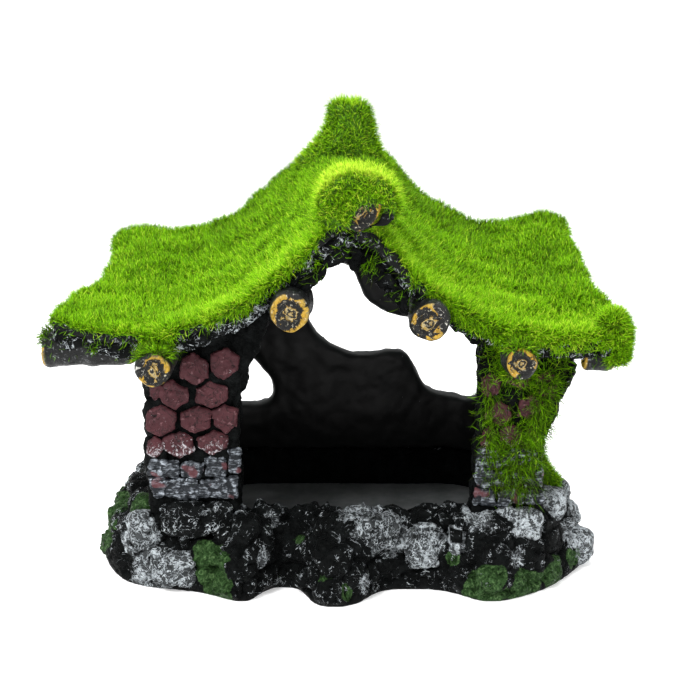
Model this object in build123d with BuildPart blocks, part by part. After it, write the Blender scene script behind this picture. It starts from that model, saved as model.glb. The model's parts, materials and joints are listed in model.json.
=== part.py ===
"""Resin cave ornament: a ruined cottage on a rock base, with a flocked moss roof.

Millimetres. +X is to the right, +Y to the rear, +Z up. The origin is on the resting face,
on the middle line of the doorway.
"""

import math
import os

from build123d import *

# Rock base
BASE_TOP = 19.0
BASE_BELLY = 8.0
BASE_TOP_INSET = 7.5
FLOOR_TOP = 6.0
FLOOR_THICK = 3.0
SOCKET_DEPTH = 3.0
BASE_OUTLINE = [
    (-64.8, -10), (-60.5, -26), (-54, -33.5), (-45, -36.5), (-35, -39.5), (-25, -43.3), (-19, -36),
    (-14, -36), (-8, -45.3), (1, -45.2), (7, -38.5), (17, -36.5), (25, -38.5), (33, -43.5), (42, -41),
    (50, -35), (56.5, -27), (60.8, -19), (60.5, -5), (58, 11), (53, 24), (44, 33), (26, 37), (4, 35),
    (-18, 37), (-38, 35), (-52, 27), (-61, 11),
]

# Cave walls: one curved shell, open at the front, with two ragged windows in the rear
WALL_THICK = 5.5
CAVE_HALF_WIDTH = 41.0
CAVE_REAR = 23.5
CAVE_FRONT = -22.0
CAVE_CORNER = 16.0
LIP_FRONT = -27.0
WALL_REACH = 100.0
WIDE_WINDOW = [
    (-11.6, 58), (-9, 49.8), (-1, 45.4), (8, 45), (14.8, 45.4), (18.5, 41), (22.2, 34.2), (29, 32.7),
    (35, 32.2), (38.4, 38), (36.4, 47), (29, 52.5), (18, 54.6), (9, 56.4), (3.8, 61.6), (-1, 70.2),
    (-6.6, 68.8), (-10.6, 64.6),
]
SMALL_WINDOW = [
    (-36.5, 31.4), (-29, 29.8), (-22.4, 31.2), (-21.9, 35.2), (-25.4, 40.2), (-29.6, 44.2), (-34.5, 42.6),
    (-37, 37),
]

# Front piers
PIER_FRONT = -32.0
PIER_REAR = -22.0
LEFT_PIER = [
    (-50, 0), (-27.5, 0), (-27.5, 45), (-25.3, 54), (-21.6, 62), (-18.8, 69), (-18.5, 110), (-50.5, 110),
]
RIGHT_PIER = [
    (29.4, 0), (48.4, 0), (47, 34), (49.5, 42), (53.5, 54), (55, 62), (55, 110), (24, 110),
    (24, 67), (31.6, 61), (31.8, 47),
]

# Roof: height of the slab's top at each station across, for the front, middle and rear sections
ROOF_STATIONS = [-74, -57, -38, -25, -17, -8, 0, 8, 17, 26, 39, 55, 70]
ROOF_FRONT_TOP = [70, 65.5, 66.5, 72.5, 78.5, 86.5, 91.5, 86, 77.5, 71, 66, 65, 69]
ROOF_MIDDLE_TOP = [71, 70.5, 71.5, 77.5, 84, 92, 96.5, 91.5, 82.3, 75.6, 72, 72.6, 72]
ROOF_REAR_TOP = [73, 77.9, 79.1, 88.5, 94.7, 101, 104, 100.1, 90.6, 84.1, 79.2, 82.9, 75]
ROOF_FRONT, ROOF_MIDDLE, ROOF_REAR = -42.0, -6.0, 34.0
ROOF_THICK = 4.5
ROOF_OUTLINE = [
    (-67.5, -40.5), (-55, -42), (-35, -41), (-16, -41.8), (2, -41.8), (18, -41.8), (35, -41), (52, -42),
    (62.5, -40), (63.5, -33), (61.8, -24), (58.5, -17), (59, -4), (59.3, 8), (58.3, 20), (58.6, 29),
    (54, 33), (40, 31.5), (22, 33), (0, 33.5), (-22, 33), (-42, 31.5), (-57, 33), (-64, 30),
    (-62.8, 17), (-62.3, 2), (-62.7, -9), (-65.5, -18), (-67.8, -30),
]
GLUE = 0.1

# Gable boards under the front edge of the roof
BOARD_DEPTH = 4.5
LEFT_BOARD_WIDTH = 2.6
RIGHT_BOARD_WIDTH = 4.4
BOARD_REACH = 13.0

# Moss: flocked mats, modelled as the layer that the fibres stand in
MOSS_THICK = 2.2
LEFT_MOSS_HANG = 1.4
RIGHT_MOSS_HANG = 3.1
MOSS_WRAP = 1.3

# Log ends: centre (x, z), radius, and where the cut end and the tail lie in Y
LOGS = {
    "purlin_log_left": ((-13.6, 73.4), 4.6, -47.5, -34.0),
    "purlin_log_right": ((18.6, 71.2), 4.3, -47.0, -34.0),
    "eave_log_left": ((-45.6, 59.6), 4.1, -46.5, -32.1),
    "eave_log_right": ((39.4, 60.8), 3.6, -46.0, -32.1),
}
RIDGE_LOG_CENTRE = (1.6, 97.6)
RIDGE_LOG_RADIUS = 5.6
RIDGE_LOG_FRONT, RIDGE_LOG_REAR = -46.5, -33.0
ROLL_HALF_WIDTH = 9.3
ROLL_HALF_HEIGHT = 7.7
BARE_SPOT = (5.2, 93.6)
BARE_SPOT_RADIUS = 4.2

# Beams that carry the front eaves: lower and upper end in X, height, radius
BEAM_Y = -37.2
LEFT_BEAM = (-71.6, -51.3, 62.2, 3.8)
RIGHT_BEAM = (55.3, 61.5, 60.6, 3.5)

# Horn at the rear of the ridge: height, centre in X and Y, and half widths in X and Y
HORN_LEVELS = [
    (94.0, -1.2, 26.0, 11.6, 5.8),
    (100.0, -1.3, 26.3, 7.6, 5.4),
    (104.0, -0.2, 27.0, 4.9, 5.0),
    (108.5, 0.0, 27.6, 3.8, 4.4),
    (112.5, 0.0, 28.0, 3.2, 3.9),
]
HORN_ROUND = 2.4
HORN_SEAT = 1.5

# Moss that rolls over the right front corner of the roof
CORNER_ROLL = [(61.6, -39.6, 68.6), (62.6, -39.8, 65.0), (62.2, -39.4, 61.2)]
CORNER_ROLL_RADIUS = 3.2

# Moss that runs down the right-hand bank from the wall
BANK_ROPE = [(47.4, -19, 33.0), (48.0, -18.5, 28.5), (50.4, -17.5, 24.0), (53.4, -15.5, 20.5)]
BANK_ROPE_RADIUS = 1.7

# Stonework that stands proud of the walls
COBBLE_PROUD = 1.2
COBBLE_CHAMFER = 0.4
LEFT_COBBLE_FILL = 0.56
RIGHT_COBBLE_FILL = 0.51
WALL_COBBLE_FILL = 0.53
BRICK_FILL = 0.54
LEFT_COBBLES = [
    (-37.6, 56.2, 6.2, 6.2), (-30.2, 57.6, 6.2, 6.4), (-42.6, 49.6, 7.2, 5.8), (-33.6, 49.8, 7.6, 6.0),
    (-46.0, 43.0, 6.8, 6.4), (-37.6, 43.4, 6.6, 6.0), (-30.4, 43.4, 5.4, 6.6), (-41.8, 36.8, 6.4, 5.6),
    (-33.4, 37.4, 7.4, 4.8), (-47.6, 36.0, 3.8, 4.4), (-47.4, 50.6, 2.6, 5.0),
]
LEFT_BRICKS = [
    (-45.6, 30.6, 7.2, 4.2), (-38.6, 30.4, 4.8, 4.0), (-32.8, 31.2, 5.4, 4.4), (-28.4, 32.4, 2.4, 5.6),
    (-43.4, 25.4, 11.4, 4.4), (-32.4, 25.8, 9.0, 4.6),
]
RIGHT_COBBLES = [
    (34.2, 51.6, 4.4, 6.0), (40.6, 54.0, 6.8, 5.8), (47.6, 51.6, 5.6, 6.4), (36.0, 45.0, 6.2, 5.6),
    (43.8, 46.4, 6.4, 6.0), (33.6, 38.8, 3.4, 5.6), (39.2, 39.2, 5.8, 5.6), (44.9, 40.0, 3.2, 5.0),
]
RIGHT_BRICKS = [
    (34.0, 33.4, 5.4, 4.2), (40.4, 33.4, 5.4, 4.2), (44.9, 33.2, 2.2, 4.2), (34.8, 28.2, 8.0, 4.4),
    (43.4, 28.2, 7.2, 4.4), (32.9, 23.2, 4.8, 4.0), (39.4, 23.2, 6.4, 4.0), (45.6, 23.2, 3.8, 4.0),
]
REAR_COBBLES = [
    (-30, 25, 8, 6), (-20, 27, 8.4, 6.4), (-10, 26, 8, 6), (0, 27, 8.4, 6), (10, 26, 8, 6.4), (20, 27, 8, 6),
    (-15, 34.5, 8, 6), (-5, 35, 8.4, 6.4), (5, 34.5, 8, 6), (14, 35.5, 7, 6), (-14.5, 43, 7.4, 6.2),
    (-6, 42, 6, 5), (29, 26, 6.4, 5.6), (28, 60, 7.4, 6), (18, 65, 7.6, 6.4), (28, 68, 7, 5.6),
    (-19, 60, 8, 6.4), (-28, 55, 7, 6), (-20, 69, 8, 6), (-29, 64, 6.4, 6), (10, 72, 7.4, 6), (-14, 78, 8, 6),
    (0, 80, 8.6, 6), (-5, 88, 7.6, 6), (7, 87, 7, 5.6),
]
SIDE_COBBLES = [
    (-12, 26, 8, 6), (-2, 27, 8.4, 6.2), (-15, 34.5, 7.4, 6), (-6, 35, 8, 6.4), (2.6, 35.4, 6.4, 6),
    (-11, 43, 8, 6.2), (-1.6, 43.6, 8, 6), (-15.4, 51, 7, 6), (-6, 51.6, 8.2, 6.2), (2.4, 52, 6.2, 5.8),
    (-11, 59, 7.6, 5.6), (-2, 59.6, 7.4, 5.6),
]

# Loose stones bedded in the base: centre, length, width, height, turn about Z, tilt about X
STONE_CUT = 0.16
STONES = {
    "stone_left_foot": ((-37.6, -33.4, 17.8), 17.0, 6.0, 7.6, 4, -10),
    "stone_right_sill": ((41.4, -33.2, 16.4), 13.0, 6.0, 7.4, -5, -10),
    "stone_left_upper": ((-51.5, -30.4, 13.0), 10.0, 8.0, 9.0, 20, -25),
    "stone_left_lower": ((-44.5, -34.5, 5.0), 14.0, 7.0, 8.0, -14, -20),
    "stone_front_slab": ((4.5, -34.0, 15.0), 17.0, 9.0, 8.0, 6, -18),
    "stone_front_right": ((18.6, -33.6, 10.5), 10.0, 8.0, 10.0, 30, -15),
    "stone_front_low": ((-2.0, -39.0, 4.6), 15.0, 10.0, 8.5, -5, -10),
    "stone_right_foot": ((29.0, -35.5, 13.5), 9.0, 7.0, 8.0, 12, -20),
    "stone_right_near": ((50.8, -24.0, 18.0), 8.4, 7.6, 8.0, 0, 0),
    "stone_right_upper": ((53.6, -12.0, 15.0), 7.4, 8.6, 9.6, 10, 0),
    "stone_right_outer": ((57.2, -19.5, 5.0), 11.6, 10.0, 8.6, -20, 0),
    "stone_rear_left": ((-50.0, 24.0, 13.0), 14.0, 11.0, 12.0, 25, 10),
    "stone_rear_right": ((36.0, 32.0, 11.0), 15.0, 9.0, 12.0, -15, 10),
}

PARTS = "parts"


def rock_polygon(width, height, sides, turn, fill=0.5):
    """Corners of an uneven polygon; with a fill of one half it just fits its width and height."""
    corners = []
    for k in range(sides):
        angle = 2 * math.pi * (k + 0.5) / sides
        reach = (fill - 0.04 * (1 + math.sin(2.3 * k + turn))) / math.cos(math.pi / sides)
        corners.append((width * reach * math.cos(angle), height * reach * math.sin(angle)))
    return corners


def pushed(points, distance):
    """The outline's points moved away from the middle by a distance."""
    moved = []
    for x, y in points:
        reach = math.hypot(x, y)
        moved.append((x * (reach + distance) / reach, y * (reach + distance) / reach))
    return moved


def roof_heights(tops, rise):
    """Points across one roof section, raised by a distance."""
    return [(x, z + rise) for x, z in zip(ROOF_STATIONS, tops)]


def band_face(plane, low, high):
    """The face between two curves that run the same way."""
    with BuildSketch(plane) as band:
        with BuildLine():
            Spline(*low)
            Line(low[-1], high[-1])
            Spline(*reversed(high))
            Line(high[0], low[0])
        make_face()
    return band.sketch


def smooth_face(plane, points):
    """The face inside a smooth closed outline."""
    with BuildSketch(plane) as outline:
        with BuildLine():
            Spline(*points, periodic=True)
        make_face()
    return outline.sketch


def roof_band(low_rise, high_rise):
    """The sections of the band between two heights above the roof's top."""
    stations = (
        (ROOF_FRONT - MOSS_WRAP - 1, ROOF_FRONT_TOP),
        (ROOF_MIDDLE, ROOF_MIDDLE_TOP),
        (ROOF_REAR + MOSS_WRAP + 1, ROOF_REAR_TOP),
    )
    return [
        band_face(Plane.XZ.offset(-y), roof_heights(tops, low_rise), roof_heights(tops, high_rise))
        for y, tops in stations
    ]


def cave_plan(height, growth, front):
    """The cave's plan with rounded rear corners, open to a straight front edge."""
    half = CAVE_HALF_WIDTH + growth
    rear = CAVE_REAR + growth
    corners = [(-half, front), (-half, rear), (half, rear), (half, front)]
    with BuildSketch(Plane.XY.offset(height)) as plan:
        with BuildLine():
            FilletPolyline(*corners, radius=CAVE_CORNER + growth)
            Line((half, front), (-half, front))
        make_face()
    return plan.sketch


def above_roof():
    """Everything above the roof's underside, less the glue line: trims what stands under it."""
    with BuildPart() as space:
        loft(roof_band(-ROOF_THICK - GLUE, 60))
    return space.part


def below_roof():
    """Everything below the horn's seat in the roof's top."""
    with BuildPart() as space:
        loft(roof_band(-60, -HORN_SEAT))
    return space.part


def make_wall(cutter):
    with BuildPart() as wall:
        seat = BASE_TOP - SOCKET_DEPTH
        extrude(cave_plan(seat, WALL_THICK, CAVE_FRONT), amount=WALL_REACH)
        extrude(cave_plan(seat, 0, CAVE_FRONT), amount=WALL_REACH, mode=Mode.SUBTRACT)
        for window in (WIDE_WINDOW, SMALL_WINDOW):
            hole = smooth_face(Plane.XZ, window)
            extrude(hole, amount=-(CAVE_REAR + 2 * WALL_THICK), mode=Mode.SUBTRACT)
        add(cutter, mode=Mode.SUBTRACT)
    return wall.part


def make_pier(outline, bedded, cutter):
    seat = BASE_TOP - SOCKET_DEPTH
    with BuildPart() as pier:
        with BuildSketch(Plane.XZ.offset(-PIER_FRONT)):
            with BuildLine():
                Polyline(*outline, close=True)
            make_face()
        extrude(amount=PIER_FRONT - PIER_REAR)
        split(bisect_by=Plane.XY.offset(seat), keep=Keep.TOP)
        add(cutter, mode=Mode.SUBTRACT)
        for stone in bedded:
            add(stone, mode=Mode.SUBTRACT)
    return pier.part


def make_corner_moss(covered):
    """Moss that hangs over the right front corner of the roof."""
    with BuildPart() as moss:
        with BuildLine() as path:
            Spline(*CORNER_ROLL)
        with BuildSketch(Plane(origin=path.line @ 0, z_dir=path.line % 0)):
            Circle(CORNER_ROLL_RADIUS)
        sweep()
        for end in (path.line @ 0, path.line @ 1):
            with Locations(end):
                Sphere(CORNER_ROLL_RADIUS)
        for piece in covered:
            add(piece, mode=Mode.SUBTRACT)
    return moss.part


def make_base(bedded):
    """The rock base, with a socket for everything bedded in it."""
    with BuildPart() as base:
        levels = ((0, 0), (BASE_BELLY, 1.0), (BASE_TOP, BASE_TOP_INSET))
        loft([smooth_face(Plane.XY.offset(height), pushed(BASE_OUTLINE, -inset)) for height, inset in levels])
        extrude(cave_plan(FLOOR_TOP - FLOOR_THICK, 0, LIP_FRONT), amount=BASE_TOP, mode=Mode.SUBTRACT)
        for piece in bedded:
            add(piece, mode=Mode.SUBTRACT)
    return base.part


def make_floor():
    with BuildPart() as floor:
        extrude(cave_plan(FLOOR_TOP - FLOOR_THICK, -GLUE, LIP_FRONT + GLUE), amount=FLOOR_THICK)
    return floor.part


def make_roof(seated):
    """The roof slab, with a seat for each log and for the horn."""
    with BuildPart() as roof:
        loft(roof_band(-ROOF_THICK, 0))
        extrude(smooth_face(Plane.XY, ROOF_OUTLINE), amount=WALL_REACH, mode=Mode.INTERSECT)
        for piece in seated:
            add(piece, mode=Mode.SUBTRACT)
    return roof.part


def make_log(centre, radius, front, rear):
    """A short log along Y with a softened cut end."""
    with BuildPart() as log:
        with BuildSketch(Plane.XZ.offset(-front)):
            with Locations(centre):
                Circle(radius)
        extrude(amount=front - rear)
        chamfer(log.faces().sort_by(Axis.Y)[0].edges(), length=0.5)
    return log.part


def make_beam(start, end, height, radius):
    """A log along X under the front eaves."""
    with BuildPart() as beam:
        with BuildSketch(Plane.YZ.offset(start)):
            with Locations((BEAM_Y, height)):
                Circle(radius)
        extrude(amount=end - start)
        chamfer(beam.edges().filter_by(GeomType.CIRCLE), length=0.4)
    return beam.part


def make_board(side, width, cutter, logs):
    """A gable board: a band that follows the underside of the roof from the ridge to the purlin."""
    under = [(x, z - ROOF_THICK) for x, z in zip(ROOF_STATIONS, ROOF_FRONT_TOP) if abs(x) < 2 * BOARD_REACH]
    low = [(x, z - width) for x, z in under]
    high = [(x, z + width) for x, z in under]
    with BuildPart() as board:
        extrude(band_face(Plane.XZ.offset(-ROOF_FRONT - 0.2), low, high), amount=-BOARD_DEPTH)
        with BuildSketch(Plane.XZ.offset(-ROOF_FRONT - 0.2)):
            with Locations((side * BOARD_REACH / 2, 80)):
                Rectangle(BOARD_REACH - GLUE, 60)
        extrude(amount=-BOARD_DEPTH, mode=Mode.INTERSECT)
        add(cutter, mode=Mode.SUBTRACT)
        for log in logs:
            add(log, mode=Mode.SUBTRACT)
    return board.part


def make_horn(growth):
    """The upright horn, or, with growth, the space that its moss fills."""
    with BuildPart() as horn:
        levels = []
        for height, x, y, half_x, half_y in HORN_LEVELS:
            with BuildSketch(Plane.XY.offset(height + growth)) as level:
                with Locations((x, y)):
                    Ellipse(half_x + growth, half_y + growth)
            levels.append(level.sketch)
        loft(levels)
        fillet(horn.faces().sort_by(Axis.Z)[-1].edges(), radius=HORN_ROUND)
        add(below_roof(), mode=Mode.SUBTRACT)
    return horn.part


def make_stone(centre, length, width, height, turn, tilt):
    """One loose stone: an uneven prism with cut rims, set down turned and tilted."""
    with BuildPart() as block:
        with BuildSketch(Plane.XY.offset(-height / 2)):
            Polygon(*rock_polygon(length, width, 7, turn), align=None)
        extrude(amount=height)
        chamfer(block.faces().filter_by(Axis.Z).edges(), length=STONE_CUT * min(width, height))
    with BuildPart() as stone:
        add(Location(centre, (tilt, 0, turn)) * block.part)
        split(bisect_by=Plane.XY, keep=Keep.TOP)
    return stone.part


def make_cobbles(plane, stones, sides, fill, outward):
    """A group of separate stones on one wall face, chamfered on the side that shows."""
    with BuildPart() as group:
        with BuildSketch(plane):
            for number, (x, z, width, height) in enumerate(stones):
                with Locations((x, z)):
                    Polygon(*rock_polygon(width, height, sides, number, fill), align=None)
        extrude(amount=COBBLE_PROUD)
        shown = group.faces().filter_by(lambda face: face.normal_at().dot(outward) > 0.99)
        chamfer(shown.edges(), length=COBBLE_CHAMFER)
    return group.part


def make_roof_moss(side, hang, covered):
    """One half of the roof's moss: it lies on the slab and wraps round its edges."""
    with BuildPart() as moss:
        loft(roof_band(-hang, MOSS_THICK))
        outline = smooth_face(Plane.XY, pushed(ROOF_OUTLINE, MOSS_WRAP))
        extrude(outline, amount=WALL_REACH, mode=Mode.INTERSECT)
        keep = Keep.TOP if side > 0 else Keep.BOTTOM
        split(bisect_by=Plane.YZ, keep=keep)
        for piece in covered:
            add(piece, mode=Mode.SUBTRACT)
    return moss.part


def make_roll_moss(log, covered):
    """Moss over the ridge log: it leaves a bare spot low on the cut end."""
    front = RIDGE_LOG_FRONT - MOSS_WRAP
    with BuildPart() as roll:
        with BuildSketch(Plane.XZ.offset(-front)):
            with Locations(RIDGE_LOG_CENTRE):
                Ellipse(ROLL_HALF_WIDTH, ROLL_HALF_HEIGHT)
        extrude(amount=front - RIDGE_LOG_REAR)
        fillet(roll.faces().sort_by(Axis.Y)[0].edges(), radius=MOSS_WRAP)
        split(bisect_by=Plane.XY.offset(BARE_SPOT[1] - 1.2), keep=Keep.TOP)
        with BuildSketch(Plane.XZ.offset(-front)):
            with Locations(BARE_SPOT):
                Circle(BARE_SPOT_RADIUS)
        extrude(amount=-2 * MOSS_WRAP, mode=Mode.SUBTRACT)
        add(log, mode=Mode.SUBTRACT)
        for piece in covered:
            add(piece, mode=Mode.SUBTRACT)
    return roll.part


def make_pier_moss(covered):
    """Moss that hangs down the front of the right pier."""
    outline = [
        (31.8, 58), (32.2, 44), (35, 33), (38, 26), (42, 23), (45.5, 25), (46, 36), (48, 44), (51.5, 56),
        (41, 60),
    ]
    with BuildPart() as moss:
        extrude(smooth_face(Plane.XZ.offset(-PIER_FRONT), outline), amount=COBBLE_PROUD + MOSS_WRAP)
        for piece in covered:
            add(piece, mode=Mode.SUBTRACT)
    return moss.part


def make_bank_moss(covered):
    """A rope of moss down the right-hand bank, from the wall to the stones."""
    with BuildPart() as moss:
        with BuildLine() as path:
            Spline(*BANK_ROPE)
        with BuildSketch(Plane(origin=path.line @ 0, z_dir=path.line % 0)):
            Circle(BANK_ROPE_RADIUS)
        sweep()
        for piece in covered:
            add(piece, mode=Mode.SUBTRACT)
    return moss.part


def finish(name, shape):
    """Labels a piece and writes it as a STEP file."""
    shape.label = name
    export_step(shape, os.path.join(PARTS, name + ".step"))


os.makedirs(PARTS, exist_ok=True)

# Everything that stands under the roof is trimmed to its underside.
space_above = above_roof()
wall = make_wall(space_above)
stones = {name: make_stone(*facts) for name, facts in STONES.items()}
bedded = list(stones.values())
left_pier = make_pier(LEFT_PIER, bedded, space_above)
right_pier = make_pier(RIGHT_PIER, bedded, space_above)

logs = {name: make_log(*facts) for name, facts in LOGS.items()}
ridge_log = make_log(RIDGE_LOG_CENTRE, RIDGE_LOG_RADIUS, RIDGE_LOG_FRONT, RIDGE_LOG_REAR)
beams = {"front_beam_left": make_beam(*LEFT_BEAM), "front_beam_right": make_beam(*RIGHT_BEAM)}
horn = make_horn(0)
under_eaves = [*logs.values(), *beams.values()]
roof = make_roof([*under_eaves, ridge_log, horn])
boards = {
    "gable_board_left": make_board(-1, LEFT_BOARD_WIDTH, space_above, list(logs.values())),
    "gable_board_right": make_board(1, RIGHT_BOARD_WIDTH, space_above, list(logs.values())),
}

base = make_base([wall, left_pier, right_pier, *stones.values()])
floor = make_floor()

front_face = Plane.XZ.offset(-PIER_FRONT)
side_x = CAVE_HALF_WIDTH + WALL_THICK
stonework = {
    "left_pier_cobbles": make_cobbles(front_face, LEFT_COBBLES, 6, LEFT_COBBLE_FILL, Vector(0, -1, 0)),
    "left_pier_bricks": make_cobbles(front_face, LEFT_BRICKS, 4, BRICK_FILL, Vector(0, -1, 0)),
    "right_pier_cobbles": make_cobbles(front_face, RIGHT_COBBLES, 6, RIGHT_COBBLE_FILL, Vector(0, -1, 0)),
    "right_pier_bricks": make_cobbles(front_face, RIGHT_BRICKS, 4, BRICK_FILL, Vector(0, -1, 0)),
    "rear_wall_cobbles": make_cobbles(
        Plane(origin=(0, CAVE_REAR + WALL_THICK, 0), x_dir=(-1, 0, 0), z_dir=(0, 1, 0)),
        [(-x, z, w, h) for x, z, w, h in REAR_COBBLES], 6, WALL_COBBLE_FILL, Vector(0, 1, 0),
    ),
    "left_wall_cobbles": make_cobbles(
        Plane(origin=(-side_x, 0, 0), x_dir=(0, -1, 0), z_dir=(-1, 0, 0)),
        [(-y, z, w, h) for y, z, w, h in SIDE_COBBLES], 6, WALL_COBBLE_FILL, Vector(-1, 0, 0),
    ),
    "right_wall_cobbles": make_cobbles(
        Plane.YZ.offset(side_x), SIDE_COBBLES, 6, WALL_COBBLE_FILL, Vector(1, 0, 0)
    ),
}

solid_pieces = [roof, *under_eaves, *boards.values()]
roof_moss = {
    "moss_roof_left": make_roof_moss(-1, LEFT_MOSS_HANG, [*solid_pieces, ridge_log, horn]),
    "moss_roof_right": make_roof_moss(1, RIGHT_MOSS_HANG, [*solid_pieces, ridge_log, horn]),
}
laid_moss = list(roof_moss.values())
moss = {
    **roof_moss,
    "moss_ridge_roll": make_roll_moss(ridge_log, [roof, *laid_moss]),
    "moss_right_pier": make_pier_moss(
        [right_pier, stonework["right_pier_cobbles"], stonework["right_pier_bricks"], logs["eave_log_right"]]
    ),
    "moss_right_corner": make_corner_moss([roof, *laid_moss, *beams.values()]),
    "moss_right_bank": make_bank_moss(
        [wall, right_pier, base, *stones.values(), stonework["right_wall_cobbles"]]
    ),
}
with BuildPart() as horn_moss:
    add(make_horn(MOSS_THICK))
    for piece in (horn, roof, *laid_moss):
        add(piece, mode=Mode.SUBTRACT)
moss["moss_horn"] = horn_moss.part

pieces = {
    "rock_base": base,
    "cave_floor": floor,
    "cave_wall": wall,
    "left_pier": left_pier,
    "right_pier": right_pier,
    "roof_slab": roof,
    "ridge_log": ridge_log,
    "ridge_horn": horn,
    **boards,
    **logs,
    **beams,
    **stones,
    **stonework,
    **moss,
}
for name, shape in pieces.items():
    finish(name, shape)
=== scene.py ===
import json
import math

import bpy
import numpy as np
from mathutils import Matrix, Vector

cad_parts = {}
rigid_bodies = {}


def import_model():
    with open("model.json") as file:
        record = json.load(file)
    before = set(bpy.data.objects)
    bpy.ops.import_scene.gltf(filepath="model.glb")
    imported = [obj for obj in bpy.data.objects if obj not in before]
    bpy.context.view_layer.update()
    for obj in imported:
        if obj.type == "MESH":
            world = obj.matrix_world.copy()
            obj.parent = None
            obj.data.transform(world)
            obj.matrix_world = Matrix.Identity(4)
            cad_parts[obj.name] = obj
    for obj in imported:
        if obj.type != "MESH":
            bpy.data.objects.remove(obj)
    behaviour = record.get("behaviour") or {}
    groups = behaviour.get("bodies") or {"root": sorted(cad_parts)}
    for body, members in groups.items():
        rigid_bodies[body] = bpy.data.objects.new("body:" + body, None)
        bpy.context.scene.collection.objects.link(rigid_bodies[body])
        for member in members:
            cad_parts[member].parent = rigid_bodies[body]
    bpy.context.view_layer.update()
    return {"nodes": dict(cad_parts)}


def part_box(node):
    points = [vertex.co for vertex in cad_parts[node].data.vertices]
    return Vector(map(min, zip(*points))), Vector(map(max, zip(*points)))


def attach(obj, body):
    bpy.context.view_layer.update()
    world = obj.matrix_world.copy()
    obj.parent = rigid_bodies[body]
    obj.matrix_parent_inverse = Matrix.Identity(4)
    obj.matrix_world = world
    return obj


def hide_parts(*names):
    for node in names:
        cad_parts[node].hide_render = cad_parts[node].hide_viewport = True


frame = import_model()

MM = 0.001
BODY = "root"


# ---------------------------------------------------------------- noise, on points in millimetres

def hashed(ix, iy, iz, seed):
    """A value from 0 to 1 for each integer lattice point."""
    h = (ix * 374761393 + iy * 668265263 + iz * 1440662683 + seed * 974634777) & 0xFFFFFFFF
    h = ((h ^ (h >> 13)) * 1274126177) & 0xFFFFFFFF
    h = ((h ^ (h >> 16)) * 2246822519) & 0xFFFFFFFF
    return ((h >> 8) & 0xFFFF) / 65535.0


def value_noise(p, seed):
    """Smooth noise from -1 to 1 at points measured in cells."""
    cell = np.floor(p).astype(np.int64)
    f = p - cell
    f = f * f * (3 - 2 * f)
    total = np.zeros(len(p))
    for dx in (0, 1):
        for dy in (0, 1):
            for dz in (0, 1):
                weight = np.abs(1 - dx - f[:, 0]) * np.abs(1 - dy - f[:, 1]) * np.abs(1 - dz - f[:, 2])
                total += weight * hashed(cell[:, 0] + dx, cell[:, 1] + dy, cell[:, 2] + dz, seed)
    return 2 * total - 1


def fractal(p, size, seed, octaves=3, gain=0.5):
    """Layered noise from about -1 to 1, whose largest features are a given size."""
    total = np.zeros(len(p))
    strength, reach = 1.0, 0.0
    for k in range(octaves):
        total += strength * value_noise(p * (2 ** k / size) + 17.3 * k, seed + k)
        reach += strength
        strength *= gain
    return total / reach


def ridged(p, size, seed, octaves=3):
    """Sharp-crested noise from 0 to 1."""
    total = np.zeros(len(p))
    strength, reach = 1.0, 0.0
    for k in range(octaves):
        total += strength * (1 - np.abs(value_noise(p * (2 ** k / size) + 9.1 * k, seed + k)) * 2).clip(-1, 1)
        reach += strength
        strength *= 0.55
    return 0.5 + 0.5 * total / reach


def cells(p, size, seed):
    """Nearest and second nearest cell centre, and the tilt of the nearest cell's own flat facet."""
    q = p / size
    home = np.floor(q).astype(np.int64)
    first = np.full(len(p), 9.0)
    second = np.full(len(p), 9.0)
    facet = np.zeros(len(p))
    for dx in (-1, 0, 1):
        for dy in (-1, 0, 1):
            for dz in (-1, 0, 1):
                c = home + (dx, dy, dz)
                r = np.stack([hashed(c[:, 0], c[:, 1], c[:, 2], seed + k) for k in range(3)], axis=1)
                away = q - (c + 0.15 + 0.7 * r)
                distance = np.sqrt((away ** 2).sum(1))
                turn = np.stack([hashed(c[:, 0], c[:, 1], c[:, 2], seed + 7 + k) for k in range(3)], axis=1)
                slope = (away * (turn - 0.5)).sum(1)
                nearer = distance < first
                second = np.where(nearer, first, np.minimum(second, distance))
                facet = np.where(nearer, slope, facet)
                first = np.where(nearer, distance, first)
    return first, second, facet


def smoothstep(low, high, x):
    t = ((x - low) / (high - low)).clip(0, 1)
    return t * t * (3 - 2 * t)


# ---------------------------------------------------------------- meshes

def points_of(mesh):
    co = np.empty(len(mesh.vertices) * 3, np.float32)
    mesh.vertices.foreach_get("co", co)
    return co.reshape(-1, 3).astype(float) / MM


def normals_of(mesh):
    no = np.empty(len(mesh.vertices) * 3, np.float32)
    mesh.vertex_normals.foreach_get("vector", no)
    return no.reshape(-1, 3).astype(float)


def set_points(mesh, points):
    mesh.vertices.foreach_set("co", (points * MM).astype(np.float32).ravel())
    mesh.update()


def set_attribute(mesh, name, values):
    layer = mesh.attributes.get(name) or mesh.attributes.new(name, "FLOAT", "POINT")
    layer.data.foreach_set("value", values.astype(np.float32))


def smoothed(mesh, values, rounds, hold=0.0):
    """Values or points averaged with their neighbours, several times over."""
    edges = np.empty(len(mesh.edges) * 2, np.int32)
    mesh.edges.foreach_get("vertices", edges)
    a, b = edges[0::2], edges[1::2]
    count = np.bincount(a, minlength=len(values)) + np.bincount(b, minlength=len(values))
    count = np.maximum(count, 1).astype(float)
    flat = values.reshape(len(values), -1)
    for _ in range(rounds):
        moved = np.empty_like(flat)
        for k in range(flat.shape[1]):
            column = flat[:, k]
            total = np.bincount(a, column[b], len(values)) + np.bincount(b, column[a], len(values))
            moved[:, k] = total / count
        flat = hold * flat + (1 - hold) * moved
    return flat.reshape(values.shape)


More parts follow.
